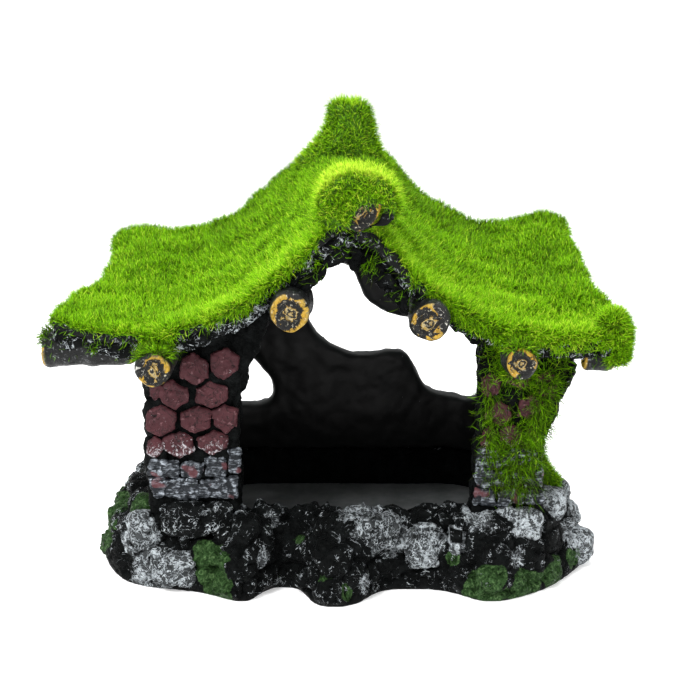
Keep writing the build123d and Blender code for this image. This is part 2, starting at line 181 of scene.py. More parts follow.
def remeshed(name, nodes, voxel, rounds=2, grow=0.0):
    """A new object from CAD nodes: one even mesh, softened, ready to be sculpted."""
    vertices, faces = [], []
    for node in nodes:
        mesh = frame["nodes"][node].data
        offset = len(vertices)
        vertices.extend([tuple(v.co) for v in mesh.vertices])
        faces.extend([tuple(offset + i for i in p.vertices) for p in mesh.polygons])
    mesh = bpy.data.meshes.new(name)
    mesh.from_pydata(vertices, [], faces)
    obj = bpy.data.objects.new(name, mesh)
    bpy.context.scene.collection.objects.link(obj)
    weld = obj.modifiers.new("weld", "WELD")
    weld.merge_threshold = 1e-6
    remesh = obj.modifiers.new("remesh", "REMESH")
    remesh.mode = "VOXEL"
    remesh.voxel_size = voxel * MM
    remesh.use_smooth_shade = True
    done = bpy.data.meshes.new_from_object(obj.evaluated_get(bpy.context.evaluated_depsgraph_get()))
    obj.modifiers.clear()
    obj.data = done
    done.name = name
    bpy.data.meshes.remove(mesh)
    if rounds:
        set_points(done, smoothed(done, points_of(done), rounds))
    if grow:
        set_points(done, points_of(done) + grow * normals_of(done))
    return obj


def placed(obj, nodes, material):
    """Rides the body, stands for its CAD nodes and takes its finish."""
    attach(obj, BODY)
    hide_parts(*nodes)
    obj.data.materials.clear()
    obj.data.materials.append(material)
    for polygon in obj.data.polygons:
        polygon.use_smooth = True
    return obj


def blobs(p, spots, size, seed):
    """A soft mask from 0 to 1 around listed spots (x, y, z, radius), with ragged borders."""
    ragged = 0.45 * fractal(p, size, seed, 3)
    mask = np.zeros(len(p))
    for x, y, z, radius in spots:
        distance = np.sqrt(((p - (x, y, z)) ** 2).sum(1)) / radius
        mask = np.maximum(mask, 1 - smoothstep(0.75, 1.1, distance + ragged))
    return mask


def crags(p, seed, boulder, chip, grit):
    """Height of broken rock at each point, and how far it stands out, from 0 to 1."""
    warp = np.stack([fractal(p, 6, seed + 31 * k, 2) for k in range(3)], axis=1)
    first, second, facet = cells(p + 1.6 * warp, boulder[0], seed)
    gap = smoothstep(0.0, 0.32, second - first)
    big = boulder[1] * (gap * (0.62 - 0.35 * first) + 1.7 * facet - 0.32)
    first, second, facet = cells(p + 0.8 * warp, chip[0], seed + 3)
    small = chip[1] * (2.2 * facet + 0.4 * smoothstep(0, 0.22, second - first) - 0.3)
    crest = ridged(p + warp, 2.6 * chip[0], seed + 5, 3)
    small += 1.2 * chip[1] * (crest - 0.5)
    fine = grit[1] * fractal(p, grit[0], seed + 9, 2)
    return big + small + fine, crest, gap


def sculpt(obj, seed, boulder, chip, grit, mask=None):
    """Breaks an object's surface into rock and keeps the crest and cavity for its paint."""
    mesh = obj.data
    p = points_of(mesh)
    height, crest, gap = crags(p, seed, boulder, chip, grit)
    if mask is not None:
        height = height * mask(p)
    p = p + normals_of(mesh) * height[:, None]
    set_points(mesh, p)
    proud = height - smoothed(mesh, height, 12)
    set_attribute(mesh, "proud", (0.5 + proud / (3 * chip[1] + 0.6 * boulder[1])).clip(0, 1))
    set_attribute(mesh, "crest", crest)
    return obj


# ---------------------------------------------------------------- materials

class Paint:
    """A Principled material and short ways to add its nodes. Texture sizes are in millimetres."""

    def __init__(self, name, **sockets):
        self.material = bpy.data.materials.new(name)
        self.material.use_nodes = True
        self.tree = self.material.node_tree
        self.shader = next(n for n in self.tree.nodes if n.type == "BSDF_PRINCIPLED")
        for socket, value in sockets.items():
            self.shader.inputs[socket.replace("_", " ")].default_value = value
        self.place = self.tree.nodes.new("ShaderNodeTexCoord").outputs["Object"]

    def link(self, source, target):
        self.tree.links.new(source, target)

    def noise(self, size, detail=4, rough=0.55, distort=0.0, stretch=None):
        node = self.tree.nodes.new("ShaderNodeTexNoise")
        node.inputs["Scale"].default_value = 1 / (size * MM)
        node.inputs["Detail"].default_value = detail
        node.inputs["Roughness"].default_value = rough
        node.inputs["Distortion"].default_value = distort
        place = self.place
        if stretch:
            mapping = self.tree.nodes.new("ShaderNodeMapping")
            mapping.inputs["Scale"].default_value = stretch
            self.link(self.place, mapping.inputs["Vector"])
            place = mapping.outputs["Vector"]
        self.link(place, node.inputs["Vector"])
        return node.outputs["Fac"]

    def attribute(self, name):
        node = self.tree.nodes.new("ShaderNodeAttribute")
        node.attribute_name = name
        return node.outputs["Fac"]

    def maths(self, operation, a, b=0.0, clamp=False):
        node = self.tree.nodes.new("ShaderNodeMath")
        node.operation = operation
        node.use_clamp = clamp
        for socket, value in zip(node.inputs, (a, b)):
            if isinstance(value, (int, float)):
                socket.default_value = value
            else:
                self.link(value, socket)
        return node.outputs[0]

    def weighted(self, *parts):
        """The sum of (value, weight) pairs."""
        total = None
        for value, weight in parts:
            term = value if weight == 1 else self.maths("MULTIPLY", value, weight)
            total = term if total is None else self.maths("ADD", total, term)
        return total

    def step(self, value, low, high):
        """0 below low, 1 above high, smooth between."""
        node = self.tree.nodes.new("ShaderNodeMapRange")
        node.interpolation_type = "SMOOTHSTEP"
        node.inputs["From Min"].default_value = low
        node.inputs["From Max"].default_value = high
        self.link(value, node.inputs["Value"])
        return node.outputs["Result"]

    def lines(self, noise, low, high):
        """Thin lines, worth 1, where a noise crosses its middle value."""
        wave = self.maths("ABSOLUTE", self.maths("SUBTRACT", noise, 0.5))
        return self.maths("SUBTRACT", 1.0, self.step(wave, low, high))

    def greys(self, value, low, high):
        """Runs from one grey to another over the middle of a noise's range."""
        return self.ramp(value, [(0.3, (low,) * 3), (0.7, (high,) * 3)])

    def ramp(self, value, stops):
        node = self.tree.nodes.new("ShaderNodeValToRGB")
        elements = node.color_ramp.elements
        while len(elements) < len(stops):
            elements.new(0.5)
        for element, (position, colour) in zip(elements, stops):
            element.position = position
            element.color = (*colour, 1)
        self.link(value, node.inputs["Fac"])
        return node.outputs["Color"]

    def mix(self, amount, a, b, blend="MIX"):
        node = self.tree.nodes.new("ShaderNodeMix")
        node.data_type = "RGBA"
        node.blend_type = blend
        for socket, value in ((node.inputs[0], amount), (node.inputs[6], a), (node.inputs[7], b)):
            if isinstance(value, (int, float)):
                socket.default_value = value
            elif isinstance(value, tuple):
                socket.default_value = (*value, 1)
            else:
                self.link(value, socket)
        return node.outputs[2]

    def finish(self, colour, roughness=None, height=None, depth=0.1, strength=0.6):
        self.link(colour, self.shader.inputs["Base Color"])
        if roughness is not None:
            self.link(roughness, self.shader.inputs["Roughness"])
        if height is not None:
            bump = self.tree.nodes.new("ShaderNodeBump")
            bump.inputs["Distance"].default_value = depth * MM
            bump.inputs["Strength"].default_value = strength
            self.link(height, bump.inputs["Height"])
            self.link(bump.outputs["Normal"], self.shader.inputs["Normal"])
        return self.material


BLACK = (0.0022, 0.0027, 0.0027)
SOOT = (0.0060, 0.0072, 0.0072)
INK = (0.005, 0.005, 0.005)
PITCH = (0.007, 0.007, 0.007)
CHALK = (0.62, 0.67, 0.70)
DULL_CHALK = (0.20, 0.23, 0.25)
BARK_CHALK = (0.34, 0.36, 0.37)
LEAF = (0.040, 0.088, 0.028)
MAROON = (0.062, 0.018, 0.022)
# Painted highlight colour for the raised parts of the maroon stones
HIGHLIGHT_MAROON = (0.20, 0.10, 0.11)
SCRATCH = (0.42, 0.40, 0.42)
SLATE = (0.007, 0.009, 0.012)
BRICK_CHALK = (0.38, 0.42, 0.47)
BRICK_RED = (0.10, 0.03, 0.035)
LINING = (0.0022, 0.0022, 0.0024)
# Painted highlight grey for the rims of the cave wall
RIM_HIGHLIGHT_GREY = (0.030, 0.034, 0.033)
OCHRE = (0.47, 0.275, 0.020)
CREAM = (0.62, 0.58, 0.44)
OLD_WHITE = (0.50, 0.49, 0.44)


def rock_paint(name):
    """Black rock, dry-brushed with chalk white on its crests, with painted green patches."""
    paint = Paint(name, Specular_IOR_Level=0.06)
    grit = paint.noise(0.45, 5, 0.75, 0.4)
    broad = paint.noise(4.5, 4, 0.6, 0.8)
    mid = paint.noise(1.5, 3, 0.55, 0.9)
    wide_lines = paint.lines(paint.noise(3.8, 4, 0.55, 0.9), 0.0, 0.026)
    fine_lines = paint.lines(paint.noise(1.9, 4, 0.55, 0.9), 0.0, 0.032)
    crease = paint.maths("MAXIMUM", wide_lines, paint.maths("MULTIPLY", fine_lines, 0.8))
    pale = paint.attribute("pale")
    leaf = paint.ramp(paint.noise(1.4, 6, 0.75, 1.2), [
        (0.36, (0.003, 0.008, 0.002)), (0.46, (0.016, 0.040, 0.010)), (0.55, LEAF),
        (0.66, (0.13, 0.22, 0.085)),
    ])
    green = paint.step(paint.weighted((paint.attribute("green"), 1), (broad, 0.9)), 0.86, 0.98)
    colour = paint.mix(paint.step(broad, 0.4, 0.7), BLACK, SOOT)
    colour = paint.mix(green, colour, leaf)
    reach = paint.weighted((crease, 0.42), (paint.attribute("proud"), 0.50), (paint.attribute("crest"), 0.25),
                           (grit, 0.20), (mid, 0.60), (broad, 0.30), (pale, 0.33), (green, -0.10))
    dusted = paint.maths("MULTIPLY", paint.step(reach, 1.0, 1.3), paint.maths("MULTIPLY", pale, 0.10))
    colour = paint.mix(dusted, colour, CHALK)
    chalk = paint.ramp(grit, [(0.35, DULL_CHALK), (0.58, CHALK)])
    colour = paint.mix(paint.step(reach, 1.345, 1.385), colour, chalk)
    relief = paint.maths("ADD", paint.maths("MULTIPLY", crease, 0.7), paint.maths("ADD", grit, mid))
    return paint.finish(colour, paint.greys(grit, 0.34, 0.6), relief, 0.45, 0.9)


def cobble_paint():
    """Maroon stones: black in their joints and cracks, with a painted highlight of lighter maroon on their
    raised parts, and a few chalk scratches.
    """
    paint = Paint("maroon_cobble", Specular_IOR_Level=0.15)
    fine = paint.noise(0.8, 5, 0.7, 0.5)
    blotch = paint.noise(4.0, 3, 0.6)
    proud = paint.attribute("proud")
    colour = paint.ramp(blotch, [(0.3, (0.042, 0.012, 0.015)), (0.6, MAROON), (0.8, (0.085, 0.028, 0.033))])
    crack = paint.lines(paint.noise(3.2, 5, 0.6, 1.0), 0.004, 0.022)
    colour = paint.mix(paint.maths("MULTIPLY", crack, 0.75), colour, BLACK)
    colour = paint.mix(paint.step(paint.weighted((proud, 1), (fine, 0.35)), 0.38, 0.56), BLACK, colour)
    # Painted highlight: the raised parts of each stone are painted lighter maroon.
    worn = paint.step(paint.weighted((proud, 1), (fine, 0.7)), 0.95, 1.05)
    colour = paint.mix(paint.maths("MULTIPLY", worn, 0.55), colour, HIGHLIGHT_MAROON)
    scratch = paint.weighted((paint.noise(1.6, 6, 0.75, 1.5), 1), (paint.attribute("pale"), 0.22))
    colour = paint.mix(paint.step(scratch, 0.65, 0.72), colour, SCRATCH)
    return paint.finish(colour, paint.greys(fine, 0.42, 0.62), fine, 0.3, 0.8)


def brick_paint():
    """Dark bricks, dry-brushed along their length, with a little of the maroon."""
    paint = Paint("grey_brick", Specular_IOR_Level=0.2)
    streak = paint.noise(0.9, 6, 0.74, 0.8, stretch=(0.4, 1.0, 1.9))
    reach = paint.weighted((paint.attribute("proud"), 0.55), (streak, 0.9))
    colour = paint.mix(paint.step(reach, 0.70, 0.96), SLATE, BRICK_CHALK)
    red = paint.step(paint.noise(5.5, 2, 0.5), 0.60, 0.66)
    colour = paint.mix(paint.maths("MULTIPLY", red, 0.8), colour, BRICK_RED)
    return paint.finish(colour, paint.greys(streak, 0.45, 0.65), streak, 0.25, 0.8)


def wall_paint():
    """Smooth black lining with a painted highlight in grey along the window rims and on its upward faces, and
    rough black outside.
    """
    paint = Paint("cave_lining", Specular_IOR_Level=0.18)
    cloud = paint.noise(6.0, 4, 0.55)
    # Painted highlight along the rims, broken up by a cloudy noise.
    rim = paint.maths("MULTIPLY", paint.attribute("rim"), paint.greys(cloud, 0.55, 1.0))
    colour = paint.mix(rim, LINING, RIM_HIGHLIGHT_GREY)
    speck = paint.step(paint.noise(1.3, 3, 0.6), 0.735, 0.77)
    colour = paint.mix(paint.maths("MULTIPLY", speck, 0.35), colour, (0.2, 0.2, 0.2))
    rough = paint.mix(paint.step(paint.noise(1.2, 6, 0.7, 0.6), 0.60, 0.72), BLACK, (0.14, 0.15, 0.16))
    colour = paint.mix(paint.attribute("outside"), colour, rough)
    return paint.finish(colour, paint.greys(cloud, 0.42, 0.55), paint.noise(2.2, 3, 0.5), 0.15, 0.4)


def floor_paint():
    """Bare grey resin."""
    paint = Paint("cave_floor", Specular_IOR_Level=0.4)
    colour = paint.ramp(paint.noise(9.0, 4, 0.6), [(0.3, (0.095, 0.104, 0.104)), (0.7, (0.18, 0.19, 0.19))])
    return paint.finish(colour, paint.greys(paint.noise(2.0, 4), 0.4, 0.58), paint.noise(1.2, 4), 0.06, 0.5)


def log_paint():
    """Cut ends with an ochre rim, a dark ring and a painted core; black bark."""
    paint = Paint("painted_log", Specular_IOR_Level=0.25)
    fine = paint.noise(0.6, 6, 0.75, 0.6)
    wobble = paint.maths("MULTIPLY", paint.maths("SUBTRACT", paint.noise(2.6, 4, 0.62, 0.8), 0.5), 1.15)
    radius = paint.weighted((paint.attribute("radius"), 1), (wobble, 1), (paint.attribute("shift"), 1))
    rings = paint.ramp(radius, [
        (0.00, (0.32, 0.25, 0.12)), (0.05, (0.30, 0.20, 0.05)), (0.09, INK), (0.19, INK),
        (0.23, (0.46, 0.38, 0.20)), (0.29, (0.42, 0.26, 0.04)), (0.33, INK), (0.63, (0.006, 0.006, 0.006)),
        (0.68, OCHRE), (0.90, (0.50, 0.33, 0.05)), (1.0, (0.26, 0.20, 0.08)),
    ])
    shading = paint.ramp(paint.noise(1.3, 5, 0.7, 0.8), [(0.36, (0.45,) * 3), (0.56, (1.0,) * 3)])
    rings = paint.mix(1.0, rings, shading, "MULTIPLY")
    rings = paint.mix(paint.step(fine, 0.58, 0.66), rings, CREAM)
    pits = paint.noise(1.1, 6, 0.78, 1.2)
    rings = paint.mix(paint.step(pits, 0.63, 0.67), rings, (0.008, 0.008, 0.008))
    worn = paint.weighted((paint.attribute("worn"), 1), (paint.noise(3.2, 4, 0.6, 0.8), 0.7))
    old = paint.mix(paint.step(paint.noise(1.1, 6, 0.7, 1.0), 0.57, 0.62), PITCH, OLD_WHITE)
    rings = paint.mix(paint.step(worn, 1.02, 1.08), rings, old)
    bark = paint.mix(paint.step(paint.noise(0.9, 7, 0.74, 0.8), 0.57, 0.68), BLACK, BARK_CHALK)
    colour = paint.mix(paint.attribute("cut"), bark, rings)
    relief = paint.weighted((fine, 1), (pits, -1.2))
    return paint.finish(colour, paint.greys(fine, 0.3, 0.5), relief, 0.35, 0.8)


FIBRE_UV = "OFBake"


def fibre_paint():
    """Flock fibres: u picks the shade of a fibre, carrying the painted light of the shade functions, and v
    runs from its root to its tip, with painted shade darkening the root.
    """
    paint = Paint("moss_fibre", Specular_IOR_Level=0.10, Roughness=0.6)
    uv = paint.tree.nodes.new("ShaderNodeUVMap")
    uv.uv_map = FIBRE_UV
    split = paint.tree.nodes.new("ShaderNodeSeparateXYZ")
    paint.link(uv.outputs["UV"], split.inputs[0])
    shade = paint.ramp(split.outputs["X"], [
        (0.0, (0.026, 0.033, 0.007)), (0.25, (0.070, 0.132, 0.002)), (0.5, (0.143, 0.40, 0.0005)),
        (0.75, (0.31, 0.69, 0.002)), (1.0, (0.72, 0.94, 0.06)),
    ])
    # Painted shade: each fibre darkens towards its root, deep in the mat.
    along = paint.ramp(split.outputs["Y"], [(0.0, (0.22,) * 3), (0.5, (0.7,) * 3), (1.0, (1.0,) * 3)])
    return paint.finish(paint.mix(1.0, shade, along, "MULTIPLY"))


def felt_paint():
    """The mat under the fibres: green where the flock is dense, black paint where it is bare."""
    paint = Paint("moss_felt", Specular_IOR_Level=0.2, Roughness=0.8)
    grain = paint.noise(0.5, 5, 0.75)
    green = paint.ramp(grain, [
        (0.3, (0.020, 0.055, 0.003)), (0.6, (0.06, 0.16, 0.006)), (0.8, (0.13, 0.30, 0.01)),
    ])
    bare = paint.mix(paint.step(paint.noise(1.0, 6, 0.72, 0.5), 0.56, 0.68), BLACK, (0.30, 0.33, 0.33))
    thick = paint.step(paint.weighted((paint.attribute("dense"), 1), (grain, 0.5)), 0.45, 0.8)
    return paint.finish(paint.mix(thick, bare, green), None, grain, 0.3, 0.8)


# ---------------------------------------------------------------- rock, stones, walls

rock = rock_paint("rock")
stone = rock_paint("stone")

# Where the base is painted green, and where it is painted pale: x, y, z and radius
GREEN_SPOTS = [
    (-62, -14, 9, 9.0), (-58, -4, 8, 9.0), (-33.5, -38, 8, 6.0), (-31.0, -39.5, 3.0, 5.0),
    (-13.5, -34, 13.5, 2.2), (-5.5, -43, 6, 2.4), (-2.0, -44, 3.0, 2.6), (34, -41, 4, 6.0),
    (43, -38, 3.0, 6.0), (50, -34, 3.0, 5.0), (26, -37, 9, 3.0), (57, -27, 4, 3.0), (-52, -25, 18, 4.0),
    (60, 8, 8, 9.0), (40, 34, 8, 9.0), (-30, 37, 9, 9.0),
]
PALE_SPOTS = [
    (-52, -31, 10, 6.0), (-48, -34, 4.5, 7.0), (-40, -32, 20, 6.0), (-30, -31, 19, 5.0), (-20, -31, 16, 3.0),
    (-22, -38, 10, 3.2), (3, -33, 17, 7.0), (10, -36, 13, 5.5), (20, -34, 12, 4.5), (32, -33, 17, 6.0),
    (44, -31, 16, 5.0), (57, -25, 10, 5.0), (5, -44, 5, 3.0), (-7, -38, 9, 3.0), (40, -38, 9, 3.5),
    (60, -15, 12, 6.0), (-60, 0, 15, 5.0), (-56, 22, 12, 7.0), (10, 36, 12, 6.0), (48, 28, 14, 6.0),
]


def paint_spots(obj, seed, pale=None, green=None):
    """Sets how pale and how green an object is: one value all over, or the spots of the base for None."""
    p = points_of(obj.data)
    pale_mask = 1.1 * blobs(p, PALE_SPOTS, 5, seed) - 0.2 if pale is None else np.full(len(p), float(pale))
    green_mask = blobs(p, GREEN_SPOTS, 4, seed + 5) if green is None else np.full(len(p), float(green))
    set_attribute(obj.data, "pale", pale_mask)
    set_attribute(obj.data, "green", green_mask)
    return obj


def hollow(p):
    """1 inside the cave's hollow in the base, where the casting is smooth."""
    across = 1 - smoothstep(41.2, 42.4, np.abs(p[:, 0]))
    along = smoothstep(-25.5, -23.5, p[:, 1]) * (1 - smoothstep(23.8, 25.0, p[:, 1]))
    corner = np.hypot(np.maximum(np.abs(p[:, 0]) - 25, 0), np.maximum(p[:, 1] - 7.5, 0))
    return across * along * (1 - smoothstep(16.3, 17.5, corner)) * smoothstep(2.2, 3.0, p[:, 2])


base = remeshed("sculpted_rock_base", ["rock_base"], 0.52, 2)
smooth_inside = 1 - hollow(points_of(base.data))
sculpt(base, 11, (8.0, 2.2), (2.7, 0.8), (0.9, 0.14), lambda p: smoothstep(0.2, 2.5, p[:, 2]) * smooth_inside)
paint_spots(base, 21)
for attribute in ("pale", "green", "crest", "proud"):
    values = np.empty(len(base.data.vertices), np.float32)
    base.data.attributes[attribute].data.foreach_get("value", values)
    set_attribute(base.data, attribute, values * smooth_inside)
placed(base, ["rock_base"], rock)

floor_piece = remeshed("worn_cave_floor", ["cave_floor"], 0.8, 1)
p = points_of(floor_piece.data)
ripple = 0.25 * fractal(p, 9, 5, 3) * smoothstep(4, 6, p[:, 2])
set_points(floor_piece.data, p + np.stack([0 * ripple, 0 * ripple, ripple], axis=1))
placed(floor_piece, ["cave_floor"], floor_paint())

# How pale and how green each bedded stone is painted
STONES = {
    "stone_left_upper": (0.9, 0.0), "stone_left_lower": (0.75, 0.0), "stone_front_slab": (0.7, 0.0),
    "stone_front_right": (0.9, 0.0), "stone_front_low": (0.3, 0.0), "stone_right_foot": (0.9, 0.0),
    "stone_right_near": (0.9, 0.0), "stone_right_upper": (0.8, 0.0), "stone_right_outer": (1.0, None),
    "stone_rear_left": (0.8, None), "stone_rear_right": (0.6, 0.8), "stone_left_foot": (0.1, 0.0),
    "stone_right_sill": (0.9, 0.0),
}
ROUND_STONES = ("stone_right_near", "stone_right_upper", "stone_right_outer")
for number, (node, (pale, green)) in enumerate(STONES.items()):
    softening, boulder_height, chip_height = (14, 0.4, 0.15) if node in ROUND_STONES else (5, 0.9, 0.34)
    piece = remeshed("sculpted_" + node, [node], 0.34, softening, 0.3)
    sculpt(piece, 40 + 9 * number, (7.0, boulder_height), (2.8, chip_height), (0.8, 0.08))
    paint_spots(piece, 60 + number, pale, green)
    placed(piece, [node], stone)


UNEVEN_PULL = 0.75


def uneven(obj, seed, along=0):
    """Pulls the outlines of flat stones out of true, up and along the face they lie on."""
    p = points_of(obj.data)
    pull = np.zeros_like(p)
    pull[:, along] = fractal(p, 4.5, seed, 2)
    pull[:, 2] = fractal(p, 4.5, seed + 9, 2)
    set_points(obj.data, p + UNEVEN_PULL * pull)


cobble = cobble_paint()
brick = brick_paint()

for side in ("left", "right"):
    node = side + "_pier"
    pier = remeshed("sculpted_" + node, [node], 0.45, 3)
    sculpt(pier, 300 + len(side), (9.0, 1.3), (2.4, 0.42), (0.8, 0.12))
    paint_spots(pier, 310, -0.7, 0)
    placed(pier, [node], rock)

    node = side + "_pier_cobbles"
    cobbles = remeshed("sculpted_" + node, [node], 0.26, 2, 0.1)
    uneven(cobbles, 335)
    sculpt(cobbles, 330 + len(side), (7.0, 0.4), (2.2, 0.22), (0.7, 0.08))
    p = points_of(cobbles.data)
    set_attribute(cobbles.data, "pale", 0.8 * (1 - smoothstep(33, 42, p[:, 2])))
    placed(cobbles, [node], cobble)

    node = side + "_pier_bricks"
    bricks = remeshed("sculpted_" + node, [node], 0.26, 2, 0.2)
    uneven(bricks, 355)
    sculpt(bricks, 350 + len(side), (5.0, 0.5), (1.6, 0.26), (0.6, 0.1))
    placed(bricks, [node], brick)

for node in ("rear_wall_cobbles", "left_wall_cobbles", "right_wall_cobbles"):
    cobbles = remeshed("sculpted_" + node, [node], 0.34, 2, 0.1)
    uneven(cobbles, 365, 0 if node == "rear_wall_cobbles" else 1)
    sculpt(cobbles, 370 + len(node), (7.0, 0.4), (2.2, 0.22), (0.7, 0.08))
    set_attribute(cobbles.data, "pale", 0.5 * (1 - smoothstep(24, 44, points_of(cobbles.data)[:, 2])))
    placed(cobbles, [node], cobble)

wall = remeshed("smooth_cave_wall", ["cave_wall"], 0.62, 16)
p = points_of(wall.data)
normal = normals_of(wall.data)
WALL_HALF_WIDTH, WALL_REAR = 44.5, 27.0
ROOF_LINE = 66
outside = smoothstep(0.3, 1.2, np.maximum(np.abs(p[:, 0]) - WALL_HALF_WIDTH, p[:, 1] - WALL_REAR))
# The rim mask is a painted highlight: grey where the wall bends over at the window rims and where it faces
# up, below the roof line.
bend = ((p - smoothed(wall.data, p, 10)) * normal).sum(1)
rim = smoothstep(0.10, 0.45, bend + 0.05 * fractal(p, 5, 7))
rim = np.maximum(rim, smoothstep(0.25, 0.7, normal[:, 2]))
rim = smoothed(wall.data, rim * (p[:, 2] < ROOF_LINE), 3)
set_attribute(wall.data, "rim", rim)
set_attribute(wall.data, "outside", outside)
lump = 0.75 * fractal(p, 9, 3, 3) + 0.25 * fractal(p, 3, 4, 2)
craggy = 0.8 * crags(p, 380, (7.0, 1.1), (2.6, 0.5), (0.8, 0.12))[0]
lump += outside * (0.4 * (ridged(p, 4, 9, 3) - 0.5) + craggy)
set_points(wall.data, p + normal * lump[:, None])
placed(wall, ["cave_wall"], wall_paint())

slab = remeshed("sculpted_roof_slab", ["roof_slab"], 0.6, 2)
sculpt(slab, 400, (8.0, 1.2), (2.6, 0.5), (0.9, 0.12))
paint_spots(slab, 410, 0.1, 0)
placed(slab, ["roof_slab"], rock)

for side in ("left", "right"):
    node = "gable_board_" + side
    board = remeshed("sculpted_" + node, [node], 0.36, 2, 0.25)
    sculpt(board, 420 + len(side), (6.0, 0.9), (2.2, 0.5), (0.8, 0.12))
    paint_spots(board, 430, -0.4, 0)
    placed(board, [node], rock)

horn = remeshed("sculpted_ridge_horn", ["ridge_horn"], 0.6, 2, -0.6)
sculpt(horn, 440, (6.0, 0.6), (2.2, 0.3), (0.8, 0.1))
paint_spots(horn, 441, 0.2, 0)
placed(horn, ["ridge_horn"], rock)


# ---------------------------------------------------------------- logs

logs_paint = log_paint()


def cut_log(node, axis, shift, worn, seed):
    """A log with a ringed cut end, bark along its side, and a slightly uneven outline."""
    low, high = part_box(node)
    low, high = np.array(low) / MM, np.array(high) / MM
    centre = (low + high) / 2
    across = [k for k in range(3) if k != axis]
    radius = (high - low)[across].mean() / 2
    log = remeshed("cut_" + node, [node], 0.28, 3, 0.15)
    p = points_of(log.data)
    away = np.sqrt(((p - centre)[:, across] ** 2).sum(1)) / radius
    facing = np.abs(normals_of(log.data)[:, axis])
    cut = smoothstep(0.45, 0.8, facing) * (away < 1.2)
    oval = 0.9 * fractal(p, 5, seed, 2) * smoothstep(0.3, 0.9, away)
    bark = 0.35 * (ridged(p, 2.4, seed + 3, 3) - 0.5) * (1 - cut)
    ring = cut * (0.38 * np.exp(-((away - 0.82) / 0.16) ** 2) - 0.3 * np.exp(-((away - 0.5) / 0.12) ** 2)
                  + 0.3 * np.exp(-(away / 0.22) ** 2) + 0.12 * fractal(p, 1.0, seed + 5, 2))
    set_points(log.data, p + normals_of(log.data) * (oval + bark + ring)[:, None])
    set_attribute(log.data, "radius", away * 0.92)
    set_attribute(log.data, "cut", cut)
    side = ((p - centre)[:, across] * np.array(shift)).sum(1) / radius
    set_attribute(log.data, "shift", -side * 0.20)
    set_attribute(log.data, "worn", 0.5 + 0.36 * ((p - centre)[:, across] * np.array(worn)).sum(1) / radius)
    return placed(log, [node], logs_paint)


cut_log("purlin_log_left", 1, (-0.6, -0.6), (0.3, 0.8), 500)
cut_log("purlin_log_right", 1, (-1.6, -0.6), (1.5, 0.5), 510)
cut_log("eave_log_left", 1, (1.0, -0.9), (-1.1, 0.8), 520)
cut_log("eave_log_right", 1, (0.2, 0.6), (0.6, -0.9), 530)
cut_log("ridge_log", 1, (0.2, -1.5), (0.0, 0.3), 540)
cut_log("front_beam_left", 0, (0.0, 0.4), (-0.3, 0.9), 550)
cut_log("front_beam_right", 0, (0.0, 0.3), (0.0, 0.9), 560)


# ---------------------------------------------------------------- moss

felt = felt_paint()
fibre = fibre_paint()
fibre_total = 0


def clumps(p, seed):
    """Low lumps and hollows of the moss mat."""
    broad, mid, fine = fractal(p, 10, seed, 2), fractal(p, 4, seed + 3, 2), fractal(p, 1.6, seed + 5, 2)
    return 1.3 * broad + 0.7 * mid + 0.2 * fine


